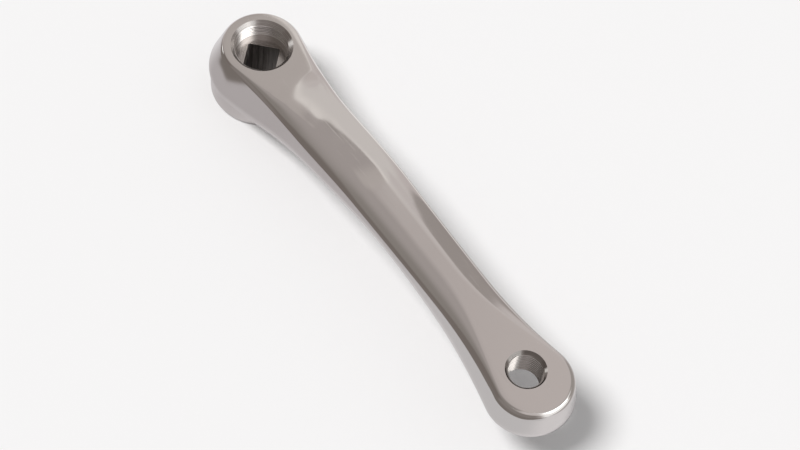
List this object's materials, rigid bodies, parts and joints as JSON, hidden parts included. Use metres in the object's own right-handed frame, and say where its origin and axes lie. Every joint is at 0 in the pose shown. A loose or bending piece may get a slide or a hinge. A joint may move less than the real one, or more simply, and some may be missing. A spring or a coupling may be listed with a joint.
{
  "type": "bicycle crank arm",
  "caption": "Left-hand bicycle crank arm: a polished forged bar with a square-taper boss for the spindle at one end and a threaded eye for the pedal at the other.",
  "frame": {"origin": "on the spindle axis, in the plane of the boss's inner face", "axes": "+Z along the spindle axis, outward from the bicycle; +X from the spindle to the pedal"},
  "size_m": [0.2119, 0.0408, 0.0323],
  "materials": {
    "polished_aluminium": "polished"
  },
  "bodies": {
    "root": {"crank_arm": "polished_aluminium"}
  },
  "joints": []
}
